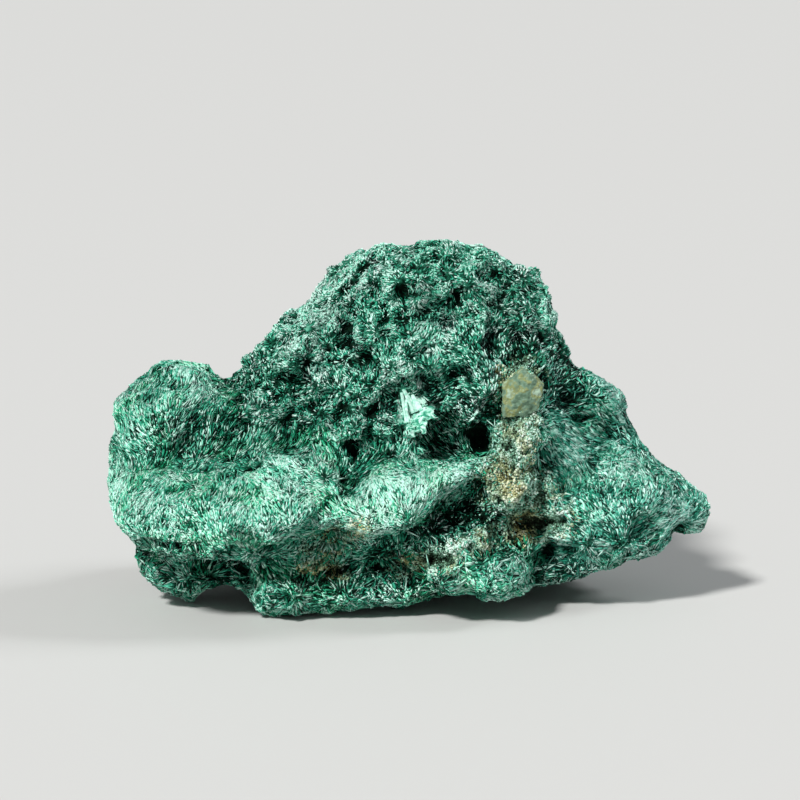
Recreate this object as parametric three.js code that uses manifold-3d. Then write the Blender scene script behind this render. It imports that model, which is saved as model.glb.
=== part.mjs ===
// A malachite specimen: one hand-sized piece of fibrous green malachite, with a tan vein of its mother rock.
// Millimetres, +Z up. The side with the vein faces -Y, and the stone's long way is X.
// The origin is under the middle of the stone, on the surface that it rests on.
import * as THREE from "three";
import { ImprovedNoise } from "three/addons/math/ImprovedNoise.js";
import { mergeVertices } from "three/addons/utils/BufferGeometryUtils.js";
import Module from "manifold-3d";

const wasm = await Module();
wasm.setup();

// Driving dimensions
const STONE_LENGTH = 100; // tip to tip
const SIGHT_SLOPE = Math.tan(THREE.MathUtils.degToRad(12)); // the outline is taken looking down by 12 degrees
const FRONT_ROUNDING = 14; // how far in from the outline the front face is at its full depth
const BACK_ROUNDING = 20;
const FRONT_LEAN = 0.14; // how far the front leans back for each millimetre up
const RESTING_CLEARANCE = 3.2; // of the underside above the surface, between the feet
const FACETS = 20; // divisions of each of the 20 faces of the ball that the stone starts from
const SETTLING_ROUNDS = 24; // rounds of evening out the facets

// The stone's outline as seen from the front, slightly from above: [across, up]. It starts at the right tip
// and runs over the wing, the dome, the left lobe and then along the underside.
const OUTLINE = [
  [51, 12.8], [48, 17.5], [43, 21.5], [39, 25], [36, 30], [35, 33.5], [32.5, 36.5], [29, 38], [26.3, 39],
  [25, 44], [23.3, 47], [23, 51.5], [21, 54.5], [17, 56.5], [13, 58.5], [8, 59.8], [4, 60.5], [1, 59.5],
  [-4, 59], [-9, 58], [-13, 55], [-17, 50.5], [-22, 46.5], [-25, 42], [-27.5, 40.5], [-30, 36.8],
  [-32.5, 38.5], [-35, 39.7], [-38.5, 39.9], [-42, 38.3], [-45, 36.5], [-48.5, 32.5], [-48.2, 27],
  [-50, 24.5], [-49.2, 22], [-50, 19.5], [-48.2, 13.5], [-45, 9], [-44.5, 5.5], [-41, 1.7], [-38, -0.9],
  [-35.5, -0.8], [-32, 2.4], [-29, 1.3], [-26.3, 0.6], [-23.5, -2.7], [-19, -2.4], [-14.8, -3.2],
  [-10, -1.8], [-5, -2.1], [2.5, -1.5], [10, 0.4], [13.5, -0.5], [17, 1], [22, 2.5], [26, 2], [29, 4],
  [33, 5], [36.5, 6.7], [41, 7.3], [43, 10.5], [47, 10.5],
];

// How deep the body is across its length: [across, front, back].
const DEPTHS = [
  [-50, -8, 8], [-44, -11, 14], [-30, -13, 21], [-10, -14, 26], [10, -14, 26], [25, -11, 21],
  [36, -8, 14], [45, -6, 9], [50, -4, 6],
];

// Lumps that stand out of the body. at is the middle as seen from the front, [across, up, back], size is
// half the lump's size the same three ways, and turn raises its right end by that many degrees.
const LUMPS = [
  { what: "lower swell", at: [-26.3, 17, -8], size: [23, 10.6, 13.5], turn: 3 },
  { what: "shelf on the swell", at: [-23, 16.8, -13.5], size: [12.5, 6.6, 9.2], turn: 8 },
  { what: "ridge that climbs from it", at: [-2, 19, -9.5], size: [15, 6, 12], turn: 26 },
  { what: "left lobe", at: [-39.6, 30.8, -2], size: [9.8, 8.8, 12.5], turn: 0 },
  { what: "left foot", at: [-37.8, 3.7, -4], size: [6.4, 5.4, 7.5], turn: 0 },
  { what: "front foot", at: [-22, 1, -12], size: [4.4, 4.4, 6], turn: 0 },
  { what: "spray beside the front foot", at: [-17.5, 2.4, -13.5], size: [3.4, 3.8, 5], turn: 0 },
  { what: "left knuckle", at: [5.4, 5, -12.5], size: [5.4, 4.2, 6.5], turn: 28 },
  { what: "right knuckle", at: [15.2, 5.4, -12], size: [6.2, 4.8, 7.5], turn: 42 },
  { what: "tan shelf", at: [7.8, 10.6, -13.5], size: [9, 2.4, 5.5], turn: 29 },
  { what: "vein's upper rib", at: [17.8, 26.5, -9], size: [3.6, 7, 7.5], turn: -4 },
  { what: "vein's lower rib", at: [17, 18.6, -10.5], size: [4.2, 5, 6.5], turn: 8 },
  { what: "wing's face", at: [33, 20, -1], size: [15, 9.2, 10.5], turn: -27 },
  { what: "wing's lower edge", at: [30.5, 9.2, -2], size: [11.5, 4.6, 9], turn: 14 },
  { what: "wing's crest", at: [30.8, 32.5, 0], size: [8.6, 4.6, 8], turn: -52 },
  { what: "tip's knob", at: [46.8, 13.8, 0], size: [3.5, 3.2, 4.4], turn: 0 },
  { what: "dome's left ridge", at: [-8, 53, -1], size: [7.5, 3, 9.5], turn: 52 },
  { what: "dome's brow", at: [5.5, 53.5, -1], size: [9, 5.6, 10.5], turn: -6 },
  { what: "dome's cheek", at: [-3, 41, -3.5], size: [9.5, 6.4, 10.5], turn: 18 },
  { what: "dome's middle", at: [8, 41, -4], size: [8, 6.6, 10.5], turn: -12 },
  { what: "dome's flank", at: [18.5, 48.6, 0], size: [5.4, 8, 9.5], turn: -12 },
  { what: "clump under the middle", at: [0.5, 31.8, -6], size: [7, 4.2, 9.5], turn: 6 },
  { what: "shoulder", at: [-19.5, 41.8, -2], size: [7.6, 4.4, 9.5], turn: 42 },
  { what: "lower shoulder", at: [-13, 35.8, -6], size: [6.4, 3.4, 8], turn: 20 },
  { what: "back left foot", at: [-20, 7.5, 13], size: [8, 7, 9], turn: 0 },
  { what: "back right foot", at: [19, 7, 11], size: [9, 7, 9], turn: 0 },
  { what: "back swell", at: [-27, 17, 12], size: [14, 10, 11], turn: 6 },
  { what: "right back lobe", at: [21, 20, 9], size: [14, 9.5, 12], turn: -24 },
  { what: "back hump", at: [-4, 38, 14], size: [16, 13, 13], turn: 20 },
  { what: "upper back knob", at: [12, 50, 10], size: [8, 6.5, 9], turn: 0 },
];

// Hollows that go into the stone, stated as the lumps are.
const HOLLOWS = [
  { what: "dark pocket over the swell", at: [-20.5, 30, -16], size: [10, 3.8, 8], turn: 16 },
  { what: "crease beside the lobe", at: [-28.8, 33, -14], size: [2.4, 8, 9], turn: 8 },
  { what: "dark pocket under the dome", at: [4, 26.8, -19], size: [8.5, 3.6, 8], turn: 22 },
  { what: "deep hole", at: [10.8, 26.6, -14], size: [2.6, 3.4, 9], turn: -30 },
  { what: "small hole on the ridge", at: [-9.2, 24.8, -19], size: [1.7, 2.6, 5], turn: -20 },
  { what: "brown hollow", at: [-12.6, 9.6, -19], size: [5.2, 2.8, 6.5], turn: 30 },
  { what: "recess under the ridge", at: [6.4, 14.8, -19.5], size: [10, 3, 7.5], turn: 33 },
  { what: "hollow in the vein", at: [19.8, 13.2, -16.5], size: [5.2, 2, 7], turn: 2 },
  { what: "tan cave", at: [2.2, 7.6, -18.5], size: [4.8, 2, 6.5], turn: 22 },
  { what: "gap right of the knuckle", at: [22.4, 5, -12.5], size: [2.4, 3.6, 7], turn: -25 },
  { what: "bowl between dome and wing", at: [25.6, 33.8, -11.5], size: [5, 5.6, 8], turn: -35 },
  { what: "dark band under the flank", at: [18, 40.3, -13.5], size: [6.5, 2.2, 6.5], turn: -18 },
  { what: "undercut at the bottom left", at: [-30, 4.6, -14.5], size: [6, 3.4, 7], turn: 0 },
  { what: "undercut at the bottom", at: [-7, 5.4, -18.5], size: [8, 3.2, 5.5], turn: -4 },
  { what: "groove behind the left ridge", at: [-5.4, 52, -11.5], size: [6, 1.5, 5], turn: 52 },
  { what: "pit with a bright rim", at: [7.6, 49.8, -12], size: [1.9, 2.6, 5], turn: 0 },
  { what: "tan pit", at: [-1, 50.3, -12], size: [2.4, 1.5, 4], turn: 10 },
  { what: "left pit", at: [-10, 44.6, -13], size: [1.8, 1.8, 5], turn: 0 },
  { what: "left lower pit", at: [-8.6, 38.8, -14.5], size: [1.8, 1.6, 5], turn: 0 },
  { what: "brow pit", at: [3.4, 56.4, -10], size: [2.2, 1.6, 4.5], turn: 0 },
  { what: "back trough", at: [5, 22, 28], size: [5, 15, 8], turn: 14 },
  { what: "back cave", at: [15, 35, 26], size: [6, 4, 8], turn: -20 },
  { what: "small back cave", at: [-14, 29, 28], size: [5, 3.4, 7], turn: 30 },
  { what: "hollow over the back swell", at: [-25, 29, 22], size: [11, 3.6, 8], turn: 20 },
];
const CREASE = 1.6; // how softly lumps and hollows meet the stone around them

// The lumps that the stone rests on: [across, back], where the underside comes down to the surface.
const FEET = [[-37, -0.5], [-21, -10], [-11, -9.5], [-3, -7], [19, 12], [-20, 15]];
const FOOT_REACH = 6;
const FOOT_DROP = 1.6; // how far a foot would reach below the surface, before it is flattened there

// Roughness of the whole skin: waves of some sizes and how far they stand out, and rosettes, which are the
// round heads of the fibre bundles.
const WAVES = [{ size: 13, height: 2.4 }, { size: 5.5, height: 1.5 }];
const ROSETTE = { spacing: 6.4, reach: 4.4, height: 1.5 };

// The tuft of pale crystals under the dome, and the flat-faced block at the head of the vein: at is their
// middle as seen from the front, [across, up].
const TUFT = { at: [1, 31], blades: 9, length: 5.4, thickness: 0.95, tip: 0.5, sunk: 0.8 };
const VEIN_BLOCK = { at: [17.6, 34.8], size: [3.4, 3.4, 4.6], sunk: 1.6 };

const noise = new ImprovedNoise();
const { clamp, lerp, smoothstep, degToRad } = THREE.MathUtils;

// A point given as seen from the front, [across, up, back], as a place in space.
const placeOf = ([across, up, back]) => new THREE.Vector3(across, back, up - back * SIGHT_SLOPE);

const outlineCurve = new THREE.CatmullRomCurve3(
  OUTLINE.map(([across, up]) => new THREE.Vector3(across, up, 0)), true, "centripetal");
const outline = outlineCurve.getPoints(OUTLINE.length * 3).slice(1);

// How far inside the outline a point of the front view is; negative outside it.
function depthInside(across, up) {
  let nearest = Infinity;
  let inside = false;
  for (let i = 0, j = outline.length - 1; i < outline.length; j = i++) {
    const a = outline[i];
    const b = outline[j];
    const dx = b.x - a.x;
    const dy = b.y - a.y;
    const along = clamp(((across - a.x) * dx + (up - a.y) * dy) / (dx * dx + dy * dy), 0, 1);
    nearest = Math.min(nearest, Math.hypot(across - a.x - along * dx, up - a.y - along * dy));
    const crosses = a.y > up !== b.y > up;
    if (crosses && across < (dx * (up - a.y)) / dy + a.x) inside = !inside;
  }
  return inside ? nearest : -nearest;
}

// The same, read between the points of a grid on which it is worked out once.
const GRID_STEP = 0.5;
const GRID_FROM = [-60, -12];
const GRID_SIZE = [240, 170];
const insideGrid = Float32Array.from({ length: GRID_SIZE[0] * GRID_SIZE[1] }, (_, i) => depthInside(
  GRID_FROM[0] + (i % GRID_SIZE[0]) * GRID_STEP, GRID_FROM[1] + Math.floor(i / GRID_SIZE[0]) * GRID_STEP));
function readInside(across, up) {
  const gx = clamp((across - GRID_FROM[0]) / GRID_STEP, 0, GRID_SIZE[0] - 1.001);
  const gy = clamp((up - GRID_FROM[1]) / GRID_STEP, 0, GRID_SIZE[1] - 1.001);
  const at = Math.floor(gy) * GRID_SIZE[0] + Math.floor(gx);
  const below = lerp(insideGrid[at], insideGrid[at + 1], gx % 1);
  const above = lerp(insideGrid[at + GRID_SIZE[0]], insideGrid[at + GRID_SIZE[0] + 1], gx % 1);
  return lerp(below, above, gy % 1);
}

// The front or back depth (column 1 or 2 of DEPTHS) at a place across the stone.
function readDepths(across, column) {
  const row = clamp(DEPTHS.findIndex((r) => r[0] > across), 1, DEPTHS.length - 1);
  const [from, to] = [DEPTHS[row - 1], DEPTHS[row]];
  return lerp(from[column], to[column], smoothstep(across, from[0], to[0]));
}

// Where the outline lies, front to back: under the stone it is well forward, over it a little back.
function rimDepth(across, up) {
  const underneath = Math.exp(-(((across + 10) / 22) ** 2)) * (1 - smoothstep(up, -3, 24));
  return lerp(-3, 5, smoothstep(up, 0, 55)) - 10 * underneath;
}

// The body without its lumps, positive inside: the outline, rounded off to the front and to the back. Away
// from the rim the outline wanders, so that its notches don't run through the stone like grooves.
function insideBody(x, y, z) {
  const up = z + y * SIGHT_SLOPE;
  const rim = rimDepth(x, up);
  const wander = 0.5 * Math.min(Math.abs(y - rim), 14);
  const inside = readInside(
    x + wander * noise.noise(y / 12, z / 12, 4.4), up + wander * noise.noise(x / 12, y / 12, 9.2));
  const toFront = y < rim;
  const fullDepth = toFront
    ? Math.min(readDepths(x, 1) + FRONT_LEAN * (up - 20), rim - 5)
    : readDepths(x, 2) - FRONT_LEAN * (up - 20);
  const fromOutline = 1 - Math.min(inside / (toFront ? FRONT_ROUNDING : BACK_ROUNDING), 1);
  return FRONT_ROUNDING * (1 - Math.hypot(fromOutline, (y - rim) / (fullDepth - rim)));
}

// A lump or hollow made ready: its middle, its turn and its half sizes.
const prepared = (forms) => forms.map(({ at, size, turn }) => ({
  middle: placeOf(at), cos: Math.cos(degToRad(turn)), sin: Math.sin(degToRad(turn)), size,
}));
const lumps = prepared(LUMPS);
const hollows = prepared(HOLLOWS);

// How far inside an egg-shaped form a point is; negative outside it.
function insideForm({ middle, cos, sin, size }, x, y, z) {
  const dx = x - middle.x;
  const dz = z - middle.z;
  const along = dx * cos + dz * sin;
  const beside = dz * cos - dx * sin;
  const back = y - middle.y;
  const reach = Math.hypot(along / size[0], beside / size[1], back / size[2]);
  const slope = Math.hypot(along / size[0] ** 2, beside / size[1] ** 2, back / size[2] ** 2);
  return reach < 0.2 ? 0.8 * Math.min(...size) : (reach * (1 - reach)) / slope;
}

// The greater of two values, with the corner between them rounded off.
function softMax(a, b, softness) {
  const overlap = Math.max(softness - Math.abs(a - b), 0) / softness;
  return Math.max(a, b) + (overlap * overlap * softness) / 4;
}

// The middles of the rosettes: one somewhere in each cell of a lattice around the stone.
const CELLS = 24;
const rosetteMiddles = Float32Array.from({ length: 3 * CELLS ** 3 }, (_, i) => {
  const cell = Math.floor(i / 3);
  const corner = Math.floor(cell / CELLS ** (i % 3)) % CELLS;
  const mixed = Math.sin(i * 127.1) * 43758.5453;
  return (corner - CELLS / 2 + (mixed - Math.floor(mixed))) * ROSETTE.spacing;
});

// How far the rosettes stand out at a place.
function rosettes(x, y, z) {
  const [i0, j0, k0] = [x, y, z].map((v) => clamp(Math.floor(v / ROSETTE.spacing) + CELLS / 2, 1, CELLS - 2));
  let nearest = Infinity;
  for (let i = i0 - 1; i <= i0 + 1; i++) {
    for (let j = j0 - 1; j <= j0 + 1; j++) {
      for (let k = k0 - 1; k <= k0 + 1; k++) {
        const at = 3 * (i + CELLS * (j + CELLS * k));
        nearest = Math.min(nearest, (rosetteMiddles[at] - x) ** 2
          + (rosetteMiddles[at + 1] - y) ** 2 + (rosetteMiddles[at + 2] - z) ** 2);
      }
    }
  }
  return ROSETTE.height * (0.6 - Math.min(nearest / ROSETTE.reach ** 2, 1.7));
}

// The swells and the wing are smoother than the dome, the lobe and the back.
function roughness(x, y, z) {
  let waves = 0;
  for (const { size, height } of WAVES) {
    waves += height * noise.noise(x / size + 3.7, y / size + 8.1, z / size + 5.3);
  }
  const smoothFront = smoothstep(-y, -4, 8) * (1 - smoothstep(z + y * SIGHT_SLOPE, 24, 30));
  return waves + rosettes(x, y, z) * (1 - 0.7 * smoothFront);
}

function undersideHeight(x, y) {
  let foot = 0;
  for (const at of FEET) {
    foot = Math.max(foot, Math.exp(-((x - at[0]) ** 2 + (y - at[1]) ** 2) / FOOT_REACH ** 2));
  }
  return lerp(RESTING_CLEARANCE + 2.5 * noise.noise(x / 8, y / 8, 1.7), -FOOT_DROP, foot);
}

// Positive inside the stone, about in millimetres. Nothing stands out past the outline, which closes in
// away from the rim.
const ROUGH_WITHIN = 7;
const OUTLINE_BOW = 0.022; // how fast the outline closes in, per millimetre squared
function insideStone(x, y, z) {
  let inside = insideBody(x, y, z);
  for (const lump of lumps) inside = softMax(inside, insideForm(lump, x, y, z), CREASE);
  for (const hollow of hollows) inside = -softMax(-inside, insideForm(hollow, x, y, z), CREASE);
  const up = z + y * SIGHT_SLOPE;
  const offRim = Math.min(Math.abs(y - rimDepth(x, up)), 20);
  let insideOutline = readInside(x, up);
  if (Math.abs(inside) < ROUGH_WITHIN || Math.abs(insideOutline) < ROUGH_WITHIN) {
    const rough = roughness(x, y, z);
    inside += rough * (0.2 + 0.8 * smoothstep(insideOutline, 0, 5));
    const bowed = rough * 0.7 * smoothstep(offRim, 1, 8) - OUTLINE_BOW * offRim ** 2;
    insideOutline += bowed * smoothstep(up, 6, 18);
  }
  return -softMax(softMax(-inside, -insideOutline, 0.8), undersideHeight(x, y) - z, CREASE);
}

// The place on the skin that is seen at a point of the front view.
function skinSeenAt(across, up) {
  let back = -30;
  while (back < 20 && insideStone(across, back, up - back * SIGHT_SLOPE) < 0) back += 0.1;
  return placeOf([across, up, back]);
}

// The skin's distance from the stone's middle along a direction: walked in from outside, then halved down.
const MIDDLE = new THREE.Vector3(-5, 1, 25);
const WALK_FROM = 62;
const WALK_STEP = 0.8;
function skinDistance(direction) {
  const at = new THREE.Vector3();
  const inside = (r) => {
    at.copy(MIDDLE).addScaledVector(direction, r);
    return insideStone(at.x, at.y, at.z) > 0;
  };
  let outer = WALK_FROM;
  while (outer > WALK_STEP && !inside(outer - WALK_STEP)) outer -= WALK_STEP;
  let inner = outer - WALK_STEP;
  for (let i = 0; i < 8; i++) {
    const half = (inner + outer) / 2;
    if (inside(half)) inner = half;
    else outer = half;
  }
  return inner;
}

// Slides a point along the skin by a given way, and moves it onto the skin, straight up or down the slope of
// the stone's inside value.
const NUDGE = 0.15;
const LONGEST_STEP = 1.2;
function settle(point, way) {
  const here = insideStone(point.x, point.y, point.z);
  const slope = new THREE.Vector3(
    insideStone(point.x + NUDGE, point.y, point.z) - here,
    insideStone(point.x, point.y + NUDGE, point.z) - here,
    insideStone(point.x, point.y, point.z + NUDGE) - here).divideScalar(NUDGE);
  const step = clamp(here / Math.max(slope.length(), 0.3), -LONGEST_STEP, LONGEST_STEP);
  slope.normalize();
  return point.clone().add(way).addScaledVector(slope, -way.dot(slope) - step);
}

function onlyPositions(geometry) {
  for (const name of ["normal", "uv"]) geometry.deleteAttribute(name);
  return mergeVertices(geometry, 1e-4);
}

function solidOf(geometry) {
  const merged = onlyPositions(geometry);
  return new wasm.Manifold(new wasm.Mesh({
    numProp: 3,
    vertProperties: Float32Array.from(merged.attributes.position.array),
    triVerts: Uint32Array.from(merged.index.array),
  }));
}

// For each point of a closed mesh, the points that share an edge with it.
function neighboursOf(geometry) {
  const neighbours = Array.from({ length: geometry.attributes.position.count }, () => new Set());
  const corners = geometry.index.array;
  for (let i = 0; i < corners.length; i += 3) {
    for (let side = 0; side < 3; side++) {
      neighbours[corners[i + side]].add(corners[i + ((side + 1) % 3)]);
      neighbours[corners[i + side]].add(corners[i + ((side + 2) % 3)]);
    }
  }
  return neighbours.map((set) => [...set]);
}

// The stone without its crystals: a ball, stretched about as the stone is, whose points move out to the
// skin. Then each slides along the skin towards the middle of its neighbours, until the facets are even.
function stoneBody() {
  const ball = onlyPositions(new THREE.IcosahedronGeometry(1, FACETS));
  const stretch = new THREE.Vector3(STONE_LENGTH / 2, 27, 30);
  let points = Array.from({ length: ball.attributes.position.count }, (_, i) => {
    const direction = new THREE.Vector3().fromBufferAttribute(ball.attributes.position, i);
    direction.multiply(stretch).normalize();
    return direction.multiplyScalar(skinDistance(direction)).add(MIDDLE);
  });
  const neighbours = neighboursOf(ball);
  for (let round = 0; round < SETTLING_ROUNDS; round++) {
    points = points.map((point, i) => {
      const way = new THREE.Vector3();
      for (const other of neighbours[i]) way.add(points[other]);
      way.divideScalar(neighbours[i].length).sub(point).multiplyScalar(0.7);
      return settle(point, way);
    });
  }
  const nowhere = new THREE.Vector3();
  for (let round = 0; round < 3; round++) points = points.map((point) => settle(point, nowhere));
  ball.setAttribute("position", new THREE.Float32BufferAttribute(points.flatMap((p) => [p.x, p.y, p.z]), 3));
  return solidOf(ball);
}

// One of the tuft's crystals: a six-sided blade that tapers to a flat end, fanned out from the tuft's root.
function blade(number) {
  const share = number / (TUFT.blades - 1);
  const length = TUFT.length * (0.8 + 0.2 * Math.sin(number * 2.4));
  const shape = new THREE.CylinderGeometry(TUFT.tip, TUFT.thickness, length, 6).translate(0, 0.4 * length, 0);
  const ownWay = new THREE.Vector3(0, 1, 0);
  const pointing = new THREE.Vector3(
    lerp(0.1, 1, share), lerp(-1, -0.5, (number * 0.37) % 1), lerp(-0.9, -0.2, share)).normalize();
  shape.applyQuaternion(new THREE.Quaternion().setFromUnitVectors(ownWay, pointing));
  const root = skinSeenAt(TUFT.at[0] + lerp(-1.6, 1.6, share), TUFT.at[1] + lerp(-0.8, 1.4, share));
  return solidOf(shape.translate(root.x, root.y + TUFT.sunk, root.z));
}

// The flat-faced block of quartz-like crystal at the head of the vein.
function veinBlock() {
  const block = new THREE.DodecahedronGeometry(1).scale(...VEIN_BLOCK.size);
  block.rotateX(0.35).rotateY(0.2).rotateZ(0.3);
  const place = skinSeenAt(...VEIN_BLOCK.at);
  return solidOf(block.translate(place.x, place.y + VEIN_BLOCK.sunk, place.z));
}

// All that would reach below the surface that the stone rests on.
function belowTheSurface() {
  const deep = 20;
  return solidOf(new THREE.BoxGeometry(2 * STONE_LENGTH, 2 * STONE_LENGTH, deep).translate(0, 0, -deep / 2));
}

function geometryOf(solid) {
  const mesh = solid.getMesh();
  return new THREE.BufferGeometry()
    .setAttribute("position", new THREE.BufferAttribute(mesh.vertProperties, 3))
    .setIndex(new THREE.BufferAttribute(mesh.triVerts, 1));
}

let stone = stoneBody().add(veinBlock());
for (let number = 0; number < TUFT.blades; number++) stone = stone.add(blade(number));
stone = stone.subtract(belowTheSurface());

// The stone is moved sideways, so that the origin is under the middle of its box.
const geometry = geometryOf(stone);
geometry.computeBoundingBox();
const middle = geometry.boundingBox.getCenter(new THREE.Vector3());
geometry.translate(-middle.x, -middle.y, 0);

const malachite = new THREE.MeshStandardMaterial({ color: 0x2f9a74, roughness: 0.6, metalness: 0 });
const mesh = new THREE.Mesh(geometry, malachite);
mesh.name = "malachite";

const specimen = new THREE.Group();
specimen.add(mesh);

export default specimen;
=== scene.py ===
# %% [markdown]
# # A specimen of velvet malachite
# Malachite often grows as bundles of silky fibres, which radiate from the points where they began to
# grow. This lesson dresses a plain solid of such a stone. First the stone gets its broken relief, then
# fibres, grains and crystals are planted on it, and then each gets its finish.

# %% Load the solid
import math
import bpy
import numpy as np
from mathutils import Matrix, Vector, kdtree, noise
from mathutils.bvhtree import BVHTree


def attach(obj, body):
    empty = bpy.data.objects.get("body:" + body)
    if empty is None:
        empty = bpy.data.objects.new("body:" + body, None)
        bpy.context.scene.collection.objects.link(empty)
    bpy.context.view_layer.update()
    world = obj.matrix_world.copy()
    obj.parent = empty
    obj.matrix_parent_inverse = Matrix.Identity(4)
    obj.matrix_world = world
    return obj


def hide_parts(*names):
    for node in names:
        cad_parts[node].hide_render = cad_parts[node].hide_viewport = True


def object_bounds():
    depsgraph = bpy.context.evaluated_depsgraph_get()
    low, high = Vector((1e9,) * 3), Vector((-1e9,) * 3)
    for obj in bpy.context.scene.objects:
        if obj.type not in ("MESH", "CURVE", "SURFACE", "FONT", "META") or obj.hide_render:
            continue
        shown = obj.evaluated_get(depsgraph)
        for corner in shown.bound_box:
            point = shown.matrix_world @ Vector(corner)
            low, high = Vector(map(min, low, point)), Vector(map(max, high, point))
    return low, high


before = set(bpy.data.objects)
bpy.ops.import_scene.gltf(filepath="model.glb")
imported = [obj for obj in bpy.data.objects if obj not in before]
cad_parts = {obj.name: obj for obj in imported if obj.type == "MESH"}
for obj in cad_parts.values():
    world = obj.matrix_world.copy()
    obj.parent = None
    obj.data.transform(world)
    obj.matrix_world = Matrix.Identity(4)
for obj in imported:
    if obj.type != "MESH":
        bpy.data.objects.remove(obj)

MM = 0.001
cad_low, cad_high = [list(corner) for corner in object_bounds()]
print("The solid's box in mm:", [round((h - l) / MM, 1) for l, h in zip(cad_low, cad_high)])

# %% [markdown]
# Every form of the stone was placed as it is seen from the front, looking down a little. So a place has
# two numbers: how far it is across, and how far up it is seen. These helpers turn points of the mesh into
# such numbers, in millimetres, and say how much of a form each point is in, from 0 to 1.

# %% Places as seen from the front
SIGHT_ANGLE = math.radians(12)
SIGHT_SLOPE = math.tan(SIGHT_ANGLE)
MOVED = Vector((0.15, -2.84, 0.0))  # how far the solid was moved to stand over its origin


def seen_from_front(points):
    across = points[:, 0] - MOVED.x
    back = points[:, 1] - MOVED.y
    return across, points[:, 2] + back * SIGHT_SLOPE, back


def soft_step(value, start, end):
    share = np.clip((value - start) / (end - start), 0, 1)
    return share * share * (3 - 2 * share)


def in_oval(points, at, half, turn=0, edge=0.35):
    across, up = seen_from_front(points)[:2]
    angle = math.radians(turn)
    dx, dy = across - at[0], up - at[1]
    along = (dx * math.cos(angle) + dy * math.sin(angle)) / half[0]
    beside = (dy * math.cos(angle) - dx * math.sin(angle)) / half[1]
    return soft_step(np.hypot(along, beside), 1 + edge, 1 - edge)


def distance_to_line(points, through):
    across, up = seen_from_front(points)[:2]
    nearest = np.full(len(points), np.inf)
    for (ax, ay), (bx, by) in zip(through, through[1:]):
        dx, dy = bx - ax, by - ay
        share = np.clip(((across - ax) * dx + (up - ay) * dy) / (dx * dx + dy * dy), 0, 1)
        nearest = np.minimum(nearest, np.hypot(across - ax - share * dx, up - ay - share * dy))
    return nearest


def patches(places, size, shift=0.0):
    return np.array([noise.noise(Vector(place) / size + Vector((shift, 0, 0))) for place in places])


def near_line(points, through, reach):
    # A slow noise that is added to the distance makes the edge of the band wander.
    away = distance_to_line(points, through) + 0.45 * reach * patches(points, 1.6)
    return soft_step(away, 1.4 * reach, 0.6 * reach)


print("A place one mm further back is seen", round(SIGHT_SLOPE, 3), "mm higher up")

# %% [markdown]
# The camera comes early, because every later choice is judged through it. It looks at the stone from a
# little above with a long lens, as a photographer of minerals does, so that the near and the far end keep
# their size.

# %% Camera
CAMERA_AWAY = 475.0
FRAME_WIDTH = 131.6  # of what the picture shows, at the stone
SENSOR = 36.0
AIM = (-1.65, 32.4)  # of the picture's middle from the stone's origin, across and up

to_camera = Vector((0, -math.cos(SIGHT_ANGLE), math.sin(SIGHT_ANGLE)))
picture_up = Vector((0, math.sin(SIGHT_ANGLE), math.cos(SIGHT_ANGLE)))
place = MOVED + Vector((AIM[0], 0, 0)) + AIM[1] * picture_up + CAMERA_AWAY * to_camera

bpy.ops.object.select_all(action="DESELECT")
bpy.ops.object.camera_add(location=place * MM, rotation=(math.pi / 2 - SIGHT_ANGLE, 0, 0))
camera = bpy.context.object
camera.data.sensor_width = SENSOR
camera.data.lens = SENSOR * CAMERA_AWAY / FRAME_WIDTH
camera.data.clip_start = 0.01
bpy.context.scene.camera = camera
print("Camera lens in mm:", round(camera.data.lens, 1))

# %% [markdown]
# The stone itself is the solid with a finer skin. Subdividing the solid would keep its long thin facets,
# so a copy of it is welded and remeshed into small even faces instead. It is smoothed until the flat
# facets are gone, and set in by about the height of the fibres, so that their tips end where the solid
# does.

# %% The stone's fine skin
SKIN_DEPTH = 0.25
SKIN_FACE = 0.5
WELD = 0.001


def apply_modifier(piece, kind, **settings):
    bpy.context.view_layer.objects.active = piece
    modifier = piece.modifiers.new(kind.title(), kind)
    for name, value in settings.items():
        setattr(modifier, name, value)
    bpy.ops.object.modifier_apply(modifier=modifier.name)


def finish_piece(piece, material):
    piece.data.materials.clear()
    piece.data.materials.append(material)
    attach(piece, "root")


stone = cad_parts["malachite"].copy()
stone.data = stone.data.copy()
for key in list(stone.keys()):
    del stone[key]
stone.parent = None
stone.name = "stone"
bpy.context.collection.objects.link(stone)
bpy.ops.object.select_all(action="DESELECT")
stone.select_set(True)
apply_modifier(stone, "WELD", merge_threshold=WELD * MM)
apply_modifier(stone, "REMESH", mode="VOXEL", voxel_size=SKIN_FACE * MM)
apply_modifier(stone, "SMOOTH", factor=0.5, iterations=4)
apply_modifier(stone, "DISPLACE", strength=-SKIN_DEPTH * MM, mid_level=0.0, direction="NORMAL")
print("Faces of the fine skin:", len(stone.data.polygons))

# %% [markdown]
# Whole arrays of points are read and written at once, because the skin has far too many points for a loop
# that handles them one by one.

# %% Points of a mesh
def read_rows(items, name, width, kind=float):
    flat = np.empty(len(items) * width, dtype=kind)
    items.foreach_get(name, flat)
    return flat.reshape(-1, width)


def vertex_places(piece):
    return read_rows(piece.data.vertices, "co", 3) / MM


def vertex_directions(piece):
    return read_rows(piece.data.vertex_normals, "vector", 3)


def move_vertices(piece, places):
    piece.data.vertices.foreach_set("co", (places * MM).ravel())
    piece.data.update()


print("Points of the fine skin:", len(vertex_places(stone)))

# %% [markdown]
# What grows where is decided once, by a mask for each region: a number from 0 to 1 at every point of the
# skin. The masks steer the relief, the colours and the fibres, so that all three agree. The tan and olive
# matrix shows in a few bands, each drawn as a line with a reach.

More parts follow.
